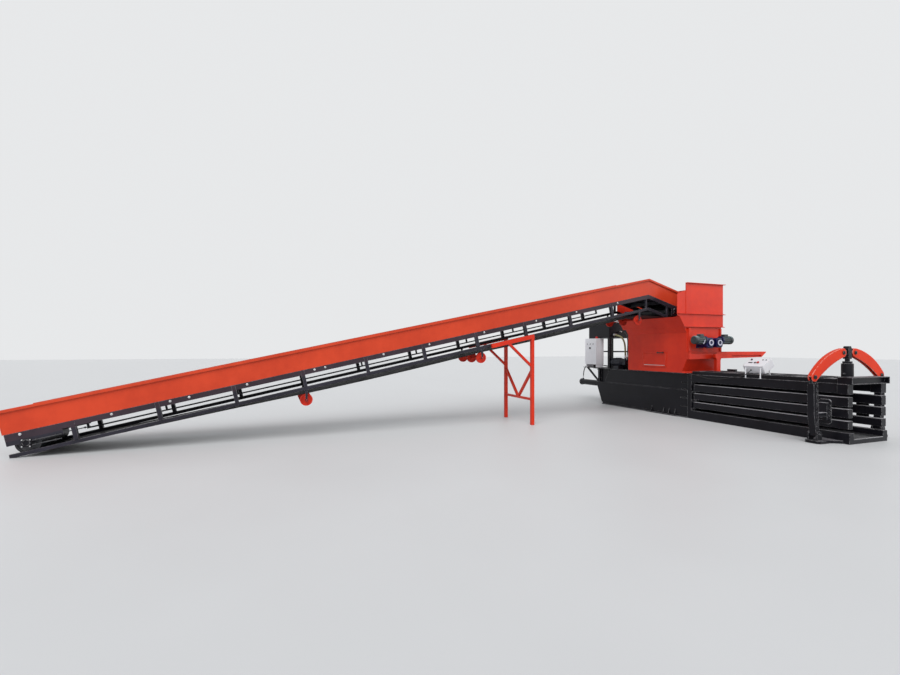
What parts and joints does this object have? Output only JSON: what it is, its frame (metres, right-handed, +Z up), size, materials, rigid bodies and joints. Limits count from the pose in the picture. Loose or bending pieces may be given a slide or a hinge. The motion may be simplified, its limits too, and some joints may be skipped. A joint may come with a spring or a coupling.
{
  "type": "recycling baler",
  "caption": "Horizontal channel baler with a hopper tower, hydraulic side squeeze, power pack, control desk and a long inclined feed conveyor.",
  "frame": {"origin": "centre of the baler's base, on the floor", "axes": "+X along the baler towards the bale exit, +Y across it and away from the feed conveyor, +Z up"},
  "size_m": [8.25, 15.7546, 3.3532],
  "materials": {
    "orange_paint": "semi-gloss, dusty",
    "dark_paint": "satin, worn on the edges",
    "worn_steel": "worn bare steel",
    "chrome_rod": "polished",
    "blue_paint": "gloss",
    "motor_paint": "satin",
    "valve_steel": "satin",
    "grey_paint": "fine texture",
    "black_plastic": "matte",
    "red_plastic": "gloss",
    "belt_rubber": "matte",
    "drum_steel": "worn",
    "olive_hose": "matte",
    "black_hose": "matte"
  },
  "bodies": {
    "machine": {"base_frame": "dark_paint", "cabinet_beacon": "red_plastic", "cabinet_body": "grey_paint", "channel_floor": "worn_steel", "channel_top": "dark_paint", "control_desk": "grey_paint", "conveyor_bed": "dark_paint", "conveyor_belt": "belt_rubber", "conveyor_frame_far": "dark_paint", "conveyor_frame_near": "dark_paint", "conveyor_stand": "orange_paint", "conveyor_wall_far": "orange_paint", "conveyor_wall_near": "orange_paint", "cylinder_hose": "black_hose", "desk_cable": "black_plastic", "desk_gland": "black_plastic", "drive_gearmotor": "blue_paint", "feed_chamber": "orange_paint", "gate_guides": "orange_paint", "gearbox_far": "blue_paint", "gearbox_near": "blue_paint", "hopper_hood": "orange_paint", "main_cylinder": "dark_paint", "oil_tank": "dark_paint", "press_chamber": "dark_paint", "pump_motor": "motor_paint", "rear_platform": "dark_paint", "return_hose": "black_hose", "rotor_motor_far": "motor_paint", "rotor_motor_near": "motor_paint", "side_panel_far": "dark_paint", "side_panel_near": "dark_paint", "squeeze_cylinder": "dark_paint", "suction_hose": "olive_hose", "tank_stand": "dark_paint", "valve_block": "valve_steel"},
    "ram": {"ram": "dark_paint", "ram_rod": "chrome_rod"},
    "hatch": {"inspection_hatch": "orange_paint"},
    "latch": {"hatch_latch": "black_plastic"},
    "gate": {"slide_gate": "worn_steel"},
    "rotor_near": {"rotor_near": "worn_steel"},
    "rotor_far": {"rotor_far": "worn_steel"},
    "fork": {"squeeze_fork": "dark_paint"},
    "arm_near": {"squeeze_arm_near": "orange_paint"},
    "arm_far": {"squeeze_arm_far": "orange_paint"},
    "lever_near": {"squeeze_lever_near": "dark_paint"},
    "lever_far": {"squeeze_lever_far": "dark_paint"},
    "channel_gate_near": {"side_gate_near": "dark_paint"},
    "channel_gate_far": {"side_gate_far": "dark_paint"},
    "stop_button": {"stop_button": "red_plastic"},
    "start_button": {"start_button": "black_plastic"},
    "mode_switch": {"mode_switch": "black_plastic"},
    "cabinet_door": {"cabinet_door": "grey_paint"},
    "main_switch": {"main_switch": "black_plastic"},
    "head_drum": {"head_drum": "drum_steel"},
    "tail_drum": {"tail_drum": "drum_steel"},
    "disc_idler_low": {"disc_idler_low": "red_plastic"},
    "disc_idler_middle": {"disc_idler_middle": "red_plastic"},
    "disc_idler_high": {"disc_idler_high": "red_plastic"}
  },
  "joints": [
    {"name": "ram_stroke", "type": "slide", "parent": "machine", "child": "ram", "axis": [1, 0, 0], "range_m": [0, 1.7]},
    {"name": "hatch_hinge", "type": "hinge", "parent": "machine", "child": "hatch", "pos_m": [-1.14, -0.573, 1.2], "axis": [1, 0, 0], "range_deg": [0, 110]},
    {"name": "latch_turn", "type": "hinge", "parent": "hatch", "child": "latch", "pos_m": [-1, -0.59, 1.556], "axis": [0, 1, 0], "range_deg": [0, 90]},
    {"name": "gate_slide", "type": "slide", "parent": "machine", "child": "gate", "axis": [0, 1, 0], "range_m": [0, 1.15]},
    {"name": "rotor_near_spin", "type": "hinge", "parent": "machine", "child": "rotor_near", "pos_m": [-1.1, -0.14, 1.8], "axis": [1, 0, 0], "continuous": true},
    {"name": "rotor_far_spin", "type": "hinge", "parent": "machine", "child": "rotor_far", "pos_m": [-1.1, 0.14, 1.8], "axis": [1, 0, 0], "continuous": true},
    {"name": "squeeze_lift", "type": "slide", "parent": "machine", "child": "fork", "axis": [0, 0, 1], "range_m": [-0.04, 0.1]},
    {"name": "arm_near_swing", "type": "hinge", "parent": "fork", "child": "arm_near", "pos_m": [2.92, -0.168, 1.583], "axis": [1, 0, 0], "range_deg": [-4, 9]},
    {"name": "arm_far_swing", "type": "hinge", "parent": "fork", "child": "arm_far", "pos_m": [2.92, 0.168, 1.583], "axis": [1, 0, 0], "range_deg": [-9, 4]},
    {"name": "lever_near_swing", "type": "hinge", "parent": "machine", "child": "lever_near", "pos_m": [2.92, -0.905, 0.15], "axis": [1, 0, 0], "range_deg": [-4, 2]},
    {"name": "lever_far_swing", "type": "hinge", "parent": "machine", "child": "lever_far", "pos_m": [2.92, 0.905, 0.15], "axis": [1, 0, 0], "range_deg": [-2, 4]},
    {"name": "channel_gate_near_swing", "type": "hinge", "parent": "machine", "child": "channel_gate_near", "pos_m": [0.02, -0.47, 0.5], "axis": [0, 0, 1], "range_deg": [-0.3, 0.6]},
    {"name": "channel_gate_far_swing", "type": "hinge", "parent": "machine", "child": "channel_gate_far", "pos_m": [0.02, 0.47, 0.5], "axis": [0, 0, 1], "range_deg": [-0.6, 0.3]},
    {"name": "stop_button_press", "type": "slide", "parent": "machine", "child": "stop_button", "axis": [0, 0.524, -0.8517], "range_m": [0, 0.004], "stiffness_N_per_m": 1000, "springref_m": -0.002},
    {"name": "start_button_press", "type": "slide", "parent": "machine", "child": "start_button", "axis": [0, 0.524, -0.8517], "range_m": [0, 0.004], "stiffness_N_per_m": 1000, "springref_m": -0.002},
    {"name": "mode_switch_turn", "type": "hinge", "parent": "machine", "child": "mode_switch", "pos_m": [1.315, -0.2936, 1.41854], "axis": [0, -0.524, 0.8517], "range_deg": [-45, 45]},
    {"name": "cabinet_door_hinge", "type": "hinge", "parent": "machine", "child": "cabinet_door", "pos_m": [-3.975, -0.6, 1.57], "axis": [0, 0, -1], "range_deg": [0, 110]},
    {"name": "main_switch_turn", "type": "hinge", "parent": "cabinet_door", "child": "main_switch", "pos_m": [-3.725, -0.6, 1.68], "axis": [0, 1, 0], "range_deg": [0, 90]},
    {"name": "head_drum_spin", "type": "hinge", "parent": "machine", "child": "head_drum", "pos_m": [-1.145, -0.47235, 2.59024], "axis": [1, 0, 0], "continuous": true},
    {"name": "tail_drum_spin", "type": "hinge", "parent": "machine", "child": "tail_drum", "pos_m": [-1.145, -13.34, 0.215], "axis": [1, 0, 0], "continuous": true},
    {"name": "disc_idler_low_spin", "type": "hinge", "parent": "machine", "child": "disc_idler_low", "pos_m": [-1.145, -9.25, 0.71596], "axis": [1, 0, 0], "continuous": true},
    {"name": "disc_idler_middle_spin", "type": "hinge", "parent": "machine", "child": "disc_idler_middle", "pos_m": [-1.145, -5.72, 1.46629], "axis": [1, 0, 0], "continuous": true},
    {"name": "disc_idler_high_spin", "type": "hinge", "parent": "machine", "child": "disc_idler_high", "pos_m": [-1.145, -1.57, 2.3484], "axis": [1, 0, 0], "continuous": true}
  ],
  "couplings": [
    {"joint": "rotor_far_spin", "follows": "rotor_near_spin", "ratio": -1},
    {"joint": "arm_near_swing", "follows": "squeeze_lift", "rad_per_m": 1.3},
    {"joint": "arm_far_swing", "follows": "squeeze_lift", "rad_per_m": -1.3},
    {"joint": "lever_near_swing", "follows": "squeeze_lift", "rad_per_m": -0.58},
    {"joint": "lever_far_swing", "follows": "squeeze_lift", "rad_per_m": 0.58},
    {"joint": "channel_gate_near_swing", "follows": "squeeze_lift", "rad_per_m": 0.066},
    {"joint": "channel_gate_far_swing", "follows": "squeeze_lift", "rad_per_m": -0.066},
    {"joint": "tail_drum_spin", "follows": "head_drum_spin", "ratio": 0.90931},
    {"joint": "disc_idler_low_spin", "follows": "head_drum_spin", "ratio": -1.4143},
    {"joint": "disc_idler_middle_spin", "follows": "head_drum_spin", "ratio": -1.4143},
    {"joint": "disc_idler_high_spin", "follows": "head_drum_spin", "ratio": -1.4143}
  ]
}
